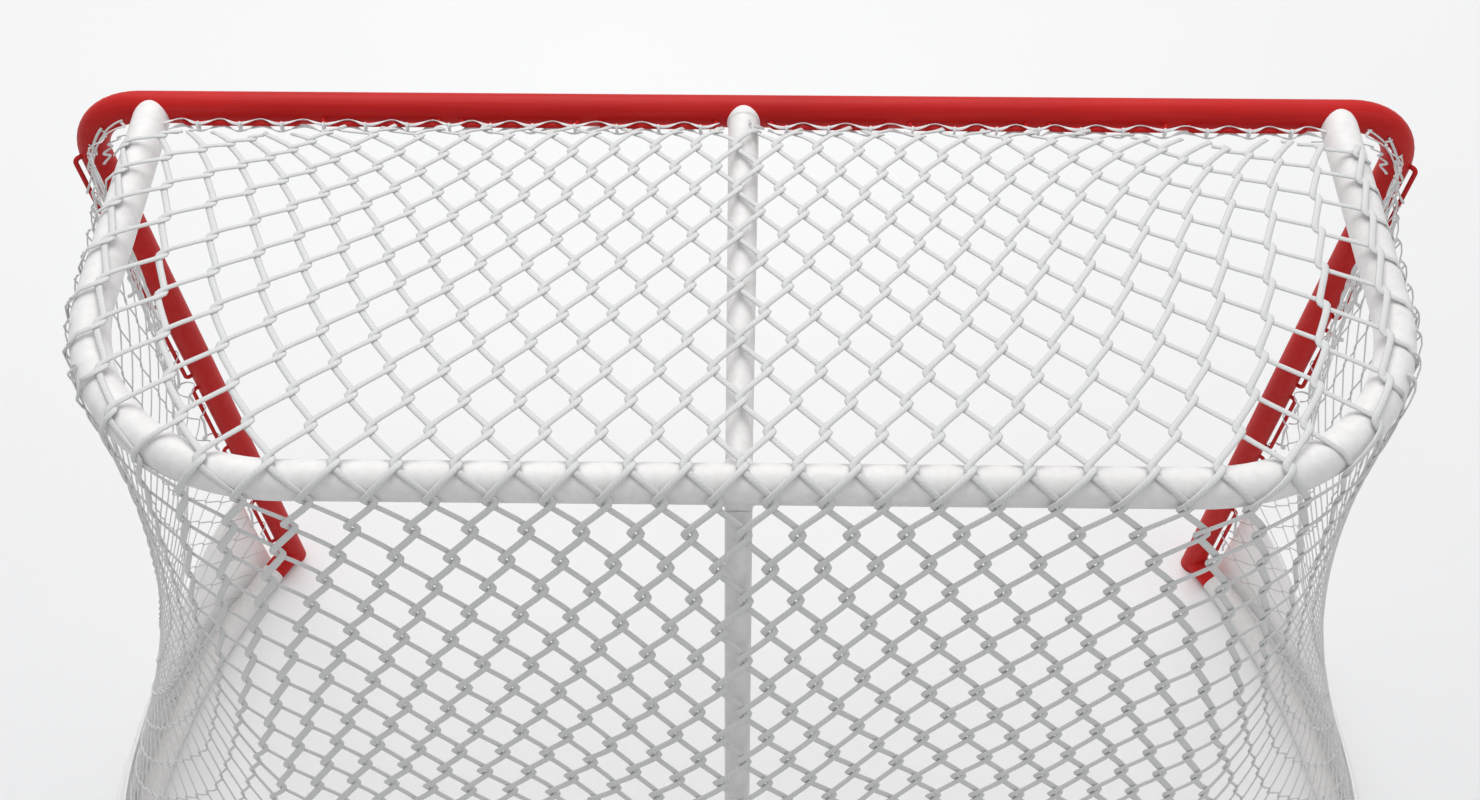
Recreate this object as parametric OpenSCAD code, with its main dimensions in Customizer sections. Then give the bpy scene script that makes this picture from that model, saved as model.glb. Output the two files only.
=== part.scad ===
// Ice hockey goal: a welded tube frame that stands on the ice, with a hanging
// net laced to it and a fabric skirt round its foot. The mouth faces -Y, the
// back +Y, and Z is up. The origin is at the centre of the footprint, on the ice.

/* [Goal mouth] */
// Clear width between the two posts
mouth_w = 1828.8; // [1600:0.1:2000]
// Clear height from the ice to the underside of the crossbar
mouth_h = 1219.2; // [1100:0.1:1350]
// Outside diameter of the posts, the crossbar and the feet
post_d = 44.5; // [40:0.5:48]
// Wall of the posts, the crossbar and the feet
post_wall = 3.7; // [2.5:0.1:5]
// Centreline radius of the bends at the two top corners
corner_r = 95; // [70:1:110]

/* [Top frame] */
// Outside diameter of the top frame's tube
top_d = 48.3; // [44:0.1:52]
// Wall of the top frame's tube
top_wall = 3; // [2:0.1:4]
// Distance from the goal's centre plane to each arm, at the crossbar
arm_x = 822; // [700:1:830]
// How far each arm closes in between the crossbar and its rear corner
arm_toe = 13; // [5:1:25]
// Depth from the crossbar's axis to the rear bar's axis
top_depth = 618; // [520:1:720]
// Centreline radius of the top frame's rear corners
top_corner_r = 285; // [200:1:330]
// Diameter of the centre tube where it meets the crossbar
centre_front_d = 44; // [36:0.5:46]
// Diameter of the centre tube where it meets the rear bar
centre_rear_d = 31; // [26:0.5:36]

/* [Base and back] */
// Depth from the posts' axis to the axis of the base tube at the back
base_depth = 1118; // [1060:1:1220]
// Outside diameter of the base tube
base_d = 44.5; // [40:0.5:48]
// Wall of the base tube, the centre tube and the rear post
light_wall = 2.6; // [1.8:0.1:3.5]
// Length of each foot, from the post's axis to its butt joint
foot_len = 60; // [50:1:90]
// Angle at which each foot turns out from straight back
foot_angle = 28; // [20:0.5:32]
// Centreline radius of the base tube along the sides
base_side_r = 1150; // [950:1:1250]
// Outside diameter of the rear post
rear_post_d = 32; // [26:0.5:38]
// How far the rear post bows out from a straight line
rear_post_bow = 40; // [20:1:60]

/* [Feet] */
// Diameter of the hole that takes an ice peg
peg_hole_d = 32; // [28:0.1:33]
// Length of the peg socket
peg_socket_len = 100; // [60:1:160]

/* [Lacing rods] */
// Diameter of the rods that the net is laced to
rod_d = 7; // [6:0.5:8]
// Distance from the tube's axis to the rod's axis
rod_stand = 32; // [31:0.5:34]
// Length of each rod along the crossbar, over its two legs
bar_rod_len = 160; // [130:1:175]
// Distance between the rods along the crossbar
bar_rod_pitch = 192; // [185:1:196]
// Distance from the goal's centre plane to the middle of the first rod
bar_rod_first = 118; // [112:1:124]
// Length of each rod along a post, over its two legs
post_rod_len = 150; // [120:1:165]
// Distance between the rods along a post
post_rod_pitch = 184; // [175:1:190]
// Height of the middle of the lowest rod on a post
post_rod_low = 165; // [150:1:180]

/* [Net] */
// Width of the net's cord
cord_w = 6; // [4:0.5:8]
// Thickness of the net's cord
cord_t = 5; // [3:0.5:6]
// Meshes across the top net
top_across = 22; // [12:1:26]
// Meshes from the crossbar to the back of the top net
top_deep = 6; // [4:1:8]
// Meshes across each side net
side_across = 7; // [4:1:10]
// Meshes across the rear net
rear_across = 7; // [4:1:10]
// Meshes from the top of the hanging nets to the base
drop_rows = 7; // [4:1:9]
// Distance in front of the crossbar of the point that the top net fans out from
fan_reach = 3635; // [3000:5:5000]
// How far the side nets sag in
side_sag = 80; // [40:1:95]
// Diameter of the lacing cord
lace_d = 3; // [2:0.1:3.2]

/* [Skirt] */
// Height of the skirt's top edge above the ice
skirt_h = 254; // [180:1:350]
// Distance from the base tube's axis to the skirt's hem
hem_out = 70; // [55:1:90]
// Thickness of the skirt's fabric
skirt_t = 2; // [1:0.1:3]

/* [Hidden] */
$fn = 48;

// Clearance between pieces that are welded, fitted or laid on each other
seat_gap = 0.25;
// Height of the skirt's hem above the ice
hem_lift = 1.5;

// Frame
post_r = post_d / 2;
post_x = mouth_w / 2 + post_r;
bar_z = mouth_h + post_r;
top_r = top_d / 2;
base_r = base_d / 2;
rod_r = rod_d / 2;

// Bends that join end to end are placed to the hundredth of a millimetre
function hundredth(a) = round(a * 100) / 100;

// Top frame: each straight arm leads in by an angle and runs into its rear corner
top_corner = [hundredth(arm_x - arm_toe - top_corner_r), top_depth - top_corner_r];
arm_reach = norm([arm_x, 0] - top_corner);
arm_angle = acos(top_corner_r / arm_reach) - atan2(top_corner[1], arm_x - top_corner[0]);
arm_len = sqrt(pow(arm_reach, 2) - pow(top_corner_r, 2));
// The arm's end is sleeved this far over the corner, which is thinner by this much
arm_sleeve = 0.5;
arm_sleeve_fit = 0.04;

// The centre tube's saddle on the crossbar is cut off this far behind the crossbar's axis
centre_saddle = 10;

// Base: the end of a foot, the side's centre and the rear corner, each in plan
foot_end = [post_x + foot_len * sin(foot_angle), foot_len * cos(foot_angle)];
side_centre = [for (a = foot_end + base_side_r * [-cos(foot_angle), sin(foot_angle)]) hundredth(a)];
base_corner_r = base_depth - side_centre[1];
base_corner = [side_centre[0] + base_side_r - base_corner_r, side_centre[1]];

// Rear post: an arc between the rear bar's axis and the base tube's axis, in the YZ plane
post_top = [top_depth, bar_z];
post_foot = [base_depth, base_r];
post_chord = norm(post_foot - post_top);
post_lean = atan((base_depth - top_depth) / (bar_z - base_r));
post_arc_r = (pow(post_chord / 2, 2) + pow(rear_post_bow, 2)) / (2 * rear_post_bow);
post_half_turn = asin(post_chord / 2 / post_arc_r);
post_out = [cos(post_lean), sin(post_lean)];
post_arc_centre = (post_top + post_foot) / 2 - (post_arc_r - rear_post_bow) * post_out;

// Lacing rods
rod_bend_r = rod_d;
bar_rods_each_side = 4;
rods_each_post = 6;
// Post rods stand off the posts halfway between straight out and straight back
post_rod_turn = 45;

// Nets: the edge meshes stand this far from the axis of the tube they are laced to
bar_net_edge = rod_stand + rod_r + 2;
post_net_edge = rod_stand + rod_r + cord_w;
// Angle above level at which the hanging nets leave the top frame, at the sides and at the
// back, and at which they meet the base tube
side_lean = -3;
rear_lean = 20;
base_lean = 20;
// At the posts the hanging nets start below the top frame and end above the base
edge_drop = 46;
edge_lift = 60;
// Depth at which the net swings in from the post to the arm
arm_swing = 60;
// Behind the goal the net bears on the bowed post and falls in away from it
rear_bow = rear_post_bow / cos(post_lean);
rear_sag = 6;
bow_half_w = 150;
top_net_z = bar_z + top_r + seat_gap;

// The footprint runs from the crossbar's front to the hem at the back
origin_y = (base_depth + hem_out - post_r) / 2;

// ---------------------------------------------------------------- geometry

function unit(v) = v / norm(v);
function blend(a, b, t) = a + (b - a) * t;
function ease(t) = t * t * (3 - 2 * t);
function polar(centre, radius, angle) = centre + radius * [cos(angle), sin(angle)];

// A quadratic curve from a to c, drawn towards b
function curve(a, b, c, t) = (1 - t) * (1 - t) * a + 2 * t * (1 - t) * b + t * t * c;

// Rails run round one half of the goal, right side: k goes from 0 at the post
// to 1 where the rear corner starts, 2 where it ends, and 3 at the centre plane.
// Plan angle of the outward normal of the base tube at k
first_angle = -foot_angle - 1.4;
function rail_angle(k) = k < 1 ? first_angle * (1 - k) : k < 2 ? (k - 1) * 90 : 90;

// Base tube's outline in plan at k, moved out by a distance
function base_rail(k, out) =
    k < 1 ? polar(side_centre, base_side_r + out, rail_angle(k))
    : k < 2 ? polar(base_corner, base_corner_r + out, rail_angle(k))
    : [base_corner[0] * (3 - k), base_depth + out];

// Top frame's outline in plan at k, moved out by a distance: from the post's
// lacing rods it swings in to the arm, and follows the tube from there
net_start = [post_x, 0] + post_net_edge * [sin(post_rod_turn), cos(post_rod_turn)];
function top_rail(k, out) =
    k < 1 ? curve(net_start, [arm_x + out, arm_swing], top_corner + [top_corner_r + out, 0], k)
    : k < 2 ? polar(top_corner, top_corner_r + out, 90 * (k - 1))
    : [top_corner[0] * (3 - k), top_depth + out];

// Hanging net's middle surface, right side: k as above, v from 0 at the top to 1 at the base
function net_offset(r) = r + seat_gap + cord_t / 2;
function net_top(k) =
    let (out = net_offset(top_r), lean = k < 1 ? side_lean : blend(side_lean, rear_lean, (k - 1) / 2),
         p = top_rail(k, out * cos(lean)), drop = k < 1 ? edge_drop * pow(1 - k, 2) : 0)
    [p[0], p[1], bar_z + out * sin(lean) - drop];
function net_base(k) =
    let (out = net_offset(base_r), p = base_rail(k, out * cos(base_lean)),
         lift = k < 1 ? edge_lift * pow(1 - k, 4) : 0)
    [p[0], p[1], base_r + out * sin(base_lean) + lift];
function net_bow(k) =
    k < 1 ? -side_sag * ease(k)
    : k < 2 ? blend(-side_sag, -rear_sag, ease(k - 1))
    : blend(-rear_sag, rear_bow, exp(-pow(top_corner[0] * (3 - k) / bow_half_w, 1.6)));
function net_surface(k, v) =
    blend(net_top(k), net_base(k), v)
    + 4 * v * (1 - v) * net_bow(k) * [cos(rail_angle(k)), sin(rail_angle(k)), 0];

// The whole round: k from 0 at the right post over 3 at the back to 6 at the left post
function whole(p, k) = k <= 3 ? p : [-p[0], p[1], p[2]];
function net_round(k, v) = whole(net_surface(k <= 3 ? k : 6 - k, v), k);

// ------------------------------------------------------- diamond mesh solid

// A net of n by m meshes has a crossing wherever i + j is odd, for i from 0 to
// 2 n and j from 0 to 2 m, and a strand from each crossing to its diagonal
// neighbours. A crossing has four corners in front and four behind.
function row_start(j, n) = ceil(j / 2) * n + floor(j / 2) * (n + 1);
function crossings(n, m) = [for (j = [0:2 * m]) for (i = [(j + 1) % 2:2:2 * n]) [i, j]];
corner_steps = [[1, 0], [0, 1], [-1, 0], [0, -1]];

// Corner c of crossing i, j: on the net's edge the two that face along it are one
function edge_corner(i, j, c, n, m) =
    c % 2 == 1 && i == 0 ? 2
    : c % 2 == 1 && i == 2 * n ? 0
    : c % 2 == 0 && j == 0 ? 3
    : c % 2 == 0 && j == 2 * m ? 1
    : c;
function corner_id(i, j, c, n, m) = 8 * (row_start(j, n) + floor(i / 2)) + edge_corner(i, j, c, n, m);

// Front quads, anticlockwise: the strand up and to the right, and up and to the left
function strand_quads(n, m) = [
    for (at = crossings(n, m)) let (i = at[0], j = at[1])
        if (j < 2 * m) each [
            if (i < 2 * n) [corner_id(i, j, 0, n, m), corner_id(i + 1, j + 1, 3, n, m),
                            corner_id(i + 1, j + 1, 2, n, m), corner_id(i, j, 1, n, m)],
            if (i > 0) [corner_id(i, j, 1, n, m), corner_id(i - 1, j + 1, 0, n, m),
                        corner_id(i - 1, j + 1, 3, n, m), corner_id(i, j, 2, n, m)]
        ]
];
function crossing_quads(n, m) = [
    for (at = crossings(n, m)) let (i = at[0], j = at[1])
        if (i > 0 && i < 2 * n && j > 0 && j < 2 * m) [for (c = [0:3]) corner_id(i, j, c, n, m)]
];
function two(q) = [[q[0], q[2], q[1]], [q[0], q[3], q[2]]];
function behind(q) = [for (c = [3:-1:0]) q[c] + 4];
function wall(a, b) = two([b, a, a + 4, b + 4]);

// Solid net from its corner points, in the order of crossings()
module mesh_solid(n, m, points) {
    quads = strand_quads(n, m);
    faces = [
        for (q = concat(quads, crossing_quads(n, m))) each concat(two(q), two(behind(q))),
        for (q = quads) each concat(wall(q[0], q[1]), wall(q[2], q[3]))
    ];
    polyhedron(points, faces, convexity = 10);
}

// Half a mesh's width and height in a hanging net between rail places k0 and k1
function half_mesh(n, k0, k1) =
    let (mid = (k0 + k1) / 2, centre = net_round(mid, 0.5))
    [(norm(net_round(k1, 0.5) - centre) + norm(net_round(k0, 0.5) - centre)) / (2 * n),
     norm(net_round(mid, 1) - net_round(mid, 0)) / (2 * drop_rows)];
// How far a crossing's corners lie from its middle, as a share of half a mesh
function corner_share(half) = cord_w / 2 * norm(half) / (half[0] * half[1]);
function net_share(n, k0, k1) = corner_share(half_mesh(n, k0, k1));

// Place i, j of a hanging net of n meshes between rail places k0 and k1, and the net's normal there
function net_at(i, j, n, k0, k1) =
    let (reach = net_share(n, k0, k1), inset = reach + seat_gap / half_mesh(n, k0, k1)[0])
    net_round(blend(k0, k1, (inset + i) / (2 * n + 2 * inset)), (reach + j) / (2 * drop_rows + 2 * reach));
function net_normal(i, j, n, k0, k1) =
    let (ahead = net_at(i + 0.2, j, n, k0, k1) - net_at(i - 0.2, j, n, k0, k1),
         down = net_at(i, j + 0.2, n, k0, k1) - net_at(i, j - 0.2, n, k0, k1))
    unit(cross(ahead, down));
function net_points(n, k0, k1) =
    let (reach = net_share(n, k0, k1))
    [for (at = crossings(n, drop_rows))
        let (normal = net_normal(at[0], at[1], n, k0, k1))
        for (side = [1, -1]) for (step = corner_steps)
            net_at(at[0] + reach * step[0], at[1] + reach * step[1], n, k0, k1) + side * cord_t / 2 * normal];

module hanging_net(n, k0, k1) {
    color("whitesmoke") mesh_solid(n, drop_rows, net_points(n, k0, k1));
}

// ------------------------------------------------------------ tubes and rods

// A round bar bent about the Z axis, starting at +X and turning by an angle
module bent_bar(bend_r, d, turn) {
    rotate_extrude(angle = turn) translate([bend_r, 0]) circle(d = d, $fn = 48);
}

// Both mirror images of what is drawn for the right side
module both_sides() {
    children();
    mirror([1, 0, 0]) children();
}

// Solid round bar along the front frame's centreline
module front_path(d) {
    both_sides() {
        translate([post_x, 0, 0]) cylinder(d = d, h = bar_z - corner_r);
        translate([post_x - corner_r, 0, bar_z - corner_r]) rotate([90, 0, 0]) bent_bar(corner_r, d, 90);
    }
    translate([corner_r - post_x, 0, bar_z]) rotate([0, 90, 0]) cylinder(d = d, h = 2 * (post_x - corner_r));
}

// Solid round bar along the top frame's centreline, its arms run out to the crossbar's axis
module top_path(d) {
    rear_d = d - arm_sleeve_fit;
    translate([0, 0, bar_z]) {
        both_sides() {
            translate([arm_x, 0, 0]) rotate([-90, 0, arm_angle]) cylinder(d = d, h = arm_len + arm_sleeve);
            translate(top_corner) rotate([0, 0, 90]) bent_bar(top_corner_r, rear_d, arm_angle - 90);
        }
        translate([-top_corner[0], top_depth, 0]) rotate([0, 90, 0]) cylinder(d = rear_d, h = 2 * top_corner[0]);
    }
}

// Solid round bar along the base tube's centreline, from foot to foot
module base_path(d) {
    translate([0, 0, base_r]) {
        both_sides() {
            translate(side_centre) bent_bar(base_side_r, d, -foot_angle);
            translate(base_corner) bent_bar(base_corner_r, d, 90);
        }
        translate([-base_corner[0], base_depth, 0]) rotate([0, 90, 0]) cylinder(d = d, h = 2 * base_corner[0]);
    }
}

// A rod along X with its two ends bent down to the tube whose axis is y = 0
module lacing_rod(len) {
    reach = len / 2 - rod_bend_r;
    translate([-reach, rod_stand, 0]) rotate([0, 90, 0]) cylinder(d = rod_d, h = 2 * reach);
    both_sides() {
        translate([reach, rod_stand - rod_bend_r, 0]) bent_bar(rod_bend_r, rod_d, 90);
        translate([len / 2, 0, 0]) rotate([-90, 0, 0]) cylinder(d = rod_d, h = rod_stand - rod_bend_r);
    }
}

// -------------------------------------------------------------------- pieces

module front_frame() {
    color("firebrick") difference() {
        front_path(post_d);
        front_path(post_d - 2 * post_wall);
    }
}

// Right foot: butts against the post's outside and carries the base tube's end
module foot_stub() {
    color("firebrick") difference() {
        translate([post_x, 0, base_r]) rotate([-90, 0, -foot_angle]) difference() {
            cylinder(d = post_d, h = foot_len);
            translate([0, 0, -1]) cylinder(d = post_d - 2 * post_wall, h = foot_len + 2);
        }
        translate([post_x, 0, -1]) cylinder(d = post_d + 2 * seat_gap, h = post_d + base_d);
    }
}
module right_foot_stub() foot_stub();
module left_foot_stub() mirror([1, 0, 0]) foot_stub();

// Sleeve up inside the foot of a post, for the peg that holds the goal in the ice
module peg_socket() {
    color("dimgray") translate([post_x, 0, 0]) difference() {
        cylinder(d = post_d - 2 * post_wall - 2 * seat_gap, h = peg_socket_len);
        translate([0, 0, -1]) cylinder(d = peg_hole_d, h = peg_socket_len + 2);
    }
}
module right_peg_socket() peg_socket();
module left_peg_socket() mirror([1, 0, 0]) peg_socket();

module crossbar_lacing_rods() {
    color("firebrick") difference() {
        both_sides() for (k = [0:bar_rods_each_side - 1])
            translate([bar_rod_first + k * bar_rod_pitch, 0, bar_z]) lacing_rod(bar_rod_len);
        front_path(post_d + 2 * seat_gap);
    }
}

module post_lacing_rods() {
    color("firebrick") difference() {
        for (k = [0:rods_each_post - 1])
            translate([post_x, 0, post_rod_low + k * post_rod_pitch]) rotate([0, 0, -post_rod_turn])
                rotate([0, 90, 0]) lacing_rod(post_rod_len);
        front_path(post_d + 2 * seat_gap);
    }
}
module right_post_lacing_rods() post_lacing_rods();
module left_post_lacing_rods() mirror([1, 0, 0]) post_lacing_rods();

module top_frame() {
    color("white") difference() {
        top_path(top_d);
        top_path(top_d - 2 * top_wall);
        front_path(post_d + 2 * seat_gap);
    }
}

module centre_top_tube() {
    color("white") difference() {
        translate([0, centre_saddle, bar_z]) rotate([-90, 0, 0]) difference() {
            cylinder(d1 = centre_front_d, d2 = centre_rear_d, h = top_depth - centre_saddle);
            translate([0, 0, -1]) cylinder(d1 = centre_front_d - 2 * light_wall,
                                           d2 = centre_rear_d - 2 * light_wall, h = top_depth + 2);
        }
        front_path(post_d + 2 * seat_gap);
        top_path(top_d + 2 * seat_gap);
    }
}

// Solid round bar along the rear post's bow, from the rear bar's axis to the base tube's
module bowed_bar(d) {
    translate([0, post_arc_centre[0], post_arc_centre[1]]) rotate([90, 0, 90])
        rotate([0, 0, post_lean - post_half_turn]) bent_bar(post_arc_r, d, 2 * post_half_turn, $fn = 360);
}

module rear_centre_post() {
    color("white") difference() {
        bowed_bar(rear_post_d);
        bowed_bar(rear_post_d - 2 * light_wall);
        top_path(top_d + 2 * seat_gap);
        base_path(base_d + 2 * seat_gap);
    }
}

module base_frame() {
    color("white") difference() {
        base_path(base_d);
        base_path(base_d - 2 * light_wall);
    }
}

// Top net: meshes that fan out from a point in front of the goal, lying flat on the
// top frame and cut along the frame's centreline
function fan(i, j) =
    let (back = blend(bar_net_edge, top_depth, j / (2 * top_deep)),
         spread = (fan_reach + back) / (fan_reach + bar_net_edge))
    [arm_x * spread * (i / top_across - 1), back];
fan_half_w = fan(top_across + 1, top_deep)[0];
fan_half_h = (top_depth - bar_net_edge) / (2 * top_deep);
fan_share = corner_share([fan_half_w, fan_half_h]);

// Outline of the fan's own zigzag edge, and its gaps, for n by m meshes with corners e of a step out
function fan_outline(n, m, e) = [
    for (i = [1:2:2 * n - 1]) each [fan(i, -e), if (i < 2 * n - 1) fan(i + 1, 1 - e)],
    for (j = [1:2:2 * m - 1]) each [fan(2 * n + e, j), if (j < 2 * m - 1) fan(2 * n - 1 + e, j + 1)],
    for (i = [2 * n - 1:-2:1]) each [fan(i, 2 * m + e), if (i > 1) fan(i - 1, 2 * m - 1 + e)],
    for (j = [2 * m - 1:-2:1]) each [fan(-e, j), if (j > 1) fan(1 - e, j - 1)]
];
function fan_gaps(n, m, e) = [
    for (j = [1:2 * m - 1]) for (i = [2 - j % 2:2:2 * n - 1])
        each [fan(i + 1 - e, j), fan(i, j + 1 - e), fan(i - 1 + e, j), fan(i, j - 1 + e)]
];
module fan_mesh(n, m, e) {
    outline = fan_outline(n, m, e);
    gaps = fan_gaps(n, m, e);
    start = len(outline);
    polygon(concat(outline, gaps), concat(
        [[for (a = [0:start - 1]) a]],
        [for (g = [0:len(gaps) / 4 - 1]) [for (c = [0:3]) start + 4 * g + c]]
    ));
}

// The top frame's centreline as an area, from the crossbar's axis back
module top_area() {
    half = concat([[arm_x, 0]], [for (t = [0:0.125:1]) polar(top_corner, top_corner_r, 90 * t)]);
    polygon(concat(half, [for (a = [len(half) - 1:-1:0]) [-half[a][0], half[a][1]]]));
}

module top_net() {
    color("whitesmoke") translate([0, 0, top_net_z]) linear_extrude(cord_t) intersection() {
        fan_mesh(top_across, top_deep + 1, fan_share);
        top_area();
    }
}

module right_side_net() hanging_net(side_across, 0, 2);
module rear_net() hanging_net(rear_across, 2, 4);
module left_side_net() hanging_net(side_across, 4, 6);

// Skirt's outer face: k along the rail, w from 0 at the top edge to 1 at the hem
skirt_bell = 6;
skirt_clear = 2.2;
hem_share_at_post = 0.55;
function skirt_face(k, w, inside) =
    let (out = [cos(rail_angle(k)), sin(rail_angle(k)), 0],
         high = net_top(k)[2], low = net_base(k)[2],
         top = net_surface(k, (high - skirt_h) / (high - low)) + (cord_t / 2 + skirt_clear + skirt_t) * out,
         plan = base_rail(k, hem_out * (k < 1 ? blend(hem_share_at_post, 1, ease(k)) : 1)))
    blend(top, [plan[0], plan[1], hem_lift], w) + (4 * w * (1 - w) * skirt_bell - inside * skirt_t) * out;

module skirt() {
    rows = 4;
    right = concat([for (t = [0:7]) t / 8], [for (t = [0:9]) 1 + t / 10], [for (t = [0:3]) 2 + t / 4], [3]);
    places = concat(right, [for (a = [len(right) - 2:-1:0]) 6 - right[a]]);
    points = [for (inside = [0, 1]) for (k = places) for (w = [0:rows])
        whole(skirt_face(k <= 3 ? k : 6 - k, w / rows, inside), k)];
    columns = len(places);
    back = columns * (rows + 1);
    function at(c, r) = c * (rows + 1) + r;
    quads = [for (c = [0:columns - 2]) for (r = [0:rows - 1]) [at(c, r), at(c, r + 1), at(c + 1, r + 1), at(c + 1, r)]];
    rim = concat(
        [for (c = [0:columns - 2]) [at(c, rows), at(c + 1, rows)]],
        [for (r = [rows:-1:1]) [at(columns - 1, r), at(columns - 1, r - 1)]],
        [for (c = [columns - 1:-1:1]) [at(c, 0), at(c - 1, 0)]],
        [for (r = [0:rows - 1]) [at(0, r), at(0, r + 1)]]
    );
    faces = concat(
        [for (q = quads) each two(q)],
        [for (q = quads) each two([for (c = [3:-1:0]) q[c] + back])],
        [for (e = rim) each two([e[1], e[0], e[0] + back, e[1] + back])]
    );
    color("white") polyhedron(points, faces, convexity = 10);
}

// A round cord swept along points that wind about an axis
module wound_cord(path, axis) {
    sides = 6;
    last = len(path) - 1;
    rings = [for (a = [0:last])
        let (ahead = unit(path[min(a + 1, last)] - path[max(a - 1, 0)]),
             across = unit(cross(ahead, axis)), up = cross(ahead, across))
        for (s = [0:sides - 1]) path[a] + lace_d / 2 * (cos(360 * s / sides) * across + sin(360 * s / sides) * up)];
    function at(a, s) = a * sides + s % sides;
    faces = concat(
        [for (s = [1:sides - 2]) [at(0, 0), at(0, s), at(0, s + 1)]],
        [for (s = [1:sides - 2]) [at(last, 0), at(last, s + 1), at(last, s)]],
        [for (a = [0:last - 1]) for (s = [0:sides - 1])
            each two([at(a, s), at(a, s + 1), at(a + 1, s + 1), at(a + 1, s)])]
    );
    color("white") polyhedron(rings, faces, convexity = 10);
}

// Lacing: each stitch goes through one edge mesh of the net and back between tube and rod
lace_slot = (post_r + rod_stand - rod_r) / 2;
lace_clear = lace_d / 2 + 2.5;

// Along the crossbar, right of the centre tube: each point of a stitch has its share of
// the distance between stitches, its distance behind the crossbar's axis, and its height
bar_tie_first = top_across + 1 + top_across % 2;
bar_tie_pitch = fan(bar_tie_first + 2, 0)[0] - fan(bar_tie_first, 0)[0];
bar_ties = floor((bar_rod_first + (bar_rods_each_side - 0.5) * bar_rod_pitch
                  - fan(bar_tie_first, 0)[0]) / bar_tie_pitch) + 1;
bar_stitch = [
    [-0.03, bar_net_edge + 15, top_net_z - lace_clear],
    [0.03, bar_net_edge + 15, top_net_z + cord_t + lace_clear],
    [0.2, bar_net_edge - 6, top_net_z + cord_t + lace_clear],
    [0.38, lace_slot, bar_z - rod_r],
    [0.5, rod_stand + 2, bar_z - rod_r - lace_clear]
];
module crossbar_lacing() {
    last = bar_ties * len(bar_stitch) - 4;
    path = [for (t = [0:bar_ties - 1]) for (p = bar_stitch)
        [fan(bar_tie_first + 2 * (t + p[0]), 0)[0], p[1], p[2]]];
    both_sides() wound_cord([for (a = [0:last]) path[a]], [1, 0, 0]);
}

// Down a post: a stitch goes round the net's edge, in through the mesh and back behind the rod.
// Places beside the net: share of the distance between stitches, place across the net, and side
post_stitch_net = [[-0.18, 0, -1], [0, 0.35, -1], [0, 0.35, 1]];
// Places at the rod: share, distance from the post's axis, and distance to the rod's inner side
post_stitch_rod = [
    [0.57, rod_stand - 2, rod_r + lace_clear + 1],
    [0.605, lace_slot, 0],
    [0.64, rod_stand - 2, -rod_r - lace_clear - 1]
];
function beside_net(t, p) =
    let (i = p[1], j = 1 + 2 * (t + p[0]))
    net_at(i, j, side_across, 0, 2) + p[2] * ((cord_t + lace_d) / 2 + 0.6) * net_normal(i, j, side_across, 0, 2);
function beside_rod(t, p) =
    [post_x + p[1] * sin(post_rod_turn) - p[2] * cos(post_rod_turn),
     p[1] * cos(post_rod_turn) + p[2] * sin(post_rod_turn),
     net_at(0, 1 + 2 * (t + p[0]), side_across, 0, 2)[2]];
module post_lacing() {
    path = [for (t = [0:drop_rows - 1]) each concat(
        [for (p = post_stitch_net) beside_net(t, p)],
        [for (p = post_stitch_rod) beside_rod(t, p)]
    )];
    wound_cord([for (a = [0:len(path) - 3]) path[a]], [0, 0, -1]);
}
module right_post_lacing() post_lacing();
module left_post_lacing() mirror([1, 0, 0]) post_lacing();

// ------------------------------------------------------------------ assembly

module placed() {
    translate([0, -origin_y, 0]) children();
}
placed() front_frame();
placed() left_foot_stub();
placed() right_foot_stub();
placed() left_peg_socket();
placed() right_peg_socket();
placed() crossbar_lacing_rods();
placed() left_post_lacing_rods();
placed() right_post_lacing_rods();
placed() top_frame();
placed() centre_top_tube();
placed() rear_centre_post();
placed() base_frame();
placed() top_net();
placed() left_side_net();
placed() rear_net();
placed() right_side_net();
placed() skirt();
placed() crossbar_lacing();
placed() left_post_lacing();
placed() right_post_lacing();
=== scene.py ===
# Ice hockey goal: net, lacing, skirt, domed tubes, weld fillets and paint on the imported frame
import math
import bpy
import numpy as np
from mathutils import Matrix, Vector


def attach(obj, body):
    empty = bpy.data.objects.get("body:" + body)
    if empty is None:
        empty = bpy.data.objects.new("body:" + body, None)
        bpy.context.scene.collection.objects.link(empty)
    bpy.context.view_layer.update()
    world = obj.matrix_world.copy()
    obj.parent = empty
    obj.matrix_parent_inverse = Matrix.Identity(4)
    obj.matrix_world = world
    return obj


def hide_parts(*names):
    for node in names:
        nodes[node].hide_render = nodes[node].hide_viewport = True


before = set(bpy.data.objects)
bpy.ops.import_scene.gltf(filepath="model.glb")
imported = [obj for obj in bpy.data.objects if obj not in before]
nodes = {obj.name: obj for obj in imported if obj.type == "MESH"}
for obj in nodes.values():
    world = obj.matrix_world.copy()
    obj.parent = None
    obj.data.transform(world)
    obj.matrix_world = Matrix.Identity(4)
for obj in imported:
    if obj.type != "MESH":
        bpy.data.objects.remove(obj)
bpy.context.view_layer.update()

# Sizes of the frame in millimetres, with the posts' axis at y = 0
goal = {
    "originY": 582.875,  # from the posts' axis back to the middle of the footprint
    "postX": 936.65, "barZ": 1241.45, "bendR": 95.0,
    "topR": 24.15, "topDepth": 618.0, "cornerR": 285.0, "cornerX": 524.0,
    "armX": 822.0, "armToe": 13.0,  # each arm closes in by its toe before the rear corner
    "baseR": 22.25, "baseDepth": 1118.0, "sideR": 1150.0, "footLen": 60.0, "footAngle": 28.0,
    "rearPostR": 16.0, "rearBow": 40.0,
    "rodStand": 32.0, "rodTurn": 45.0,  # lacing rods: from their tube's axis, and degrees round the post
}


def inFrame(points):
    # Millimetres from the posts' axis to metres in the shared frame
    return (np.asarray(points, float) - [0, goal["originY"], 0]) / 1000


def unit(v):
    return v / np.maximum(np.linalg.norm(v, axis=-1, keepdims=True), 1e-12)


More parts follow.
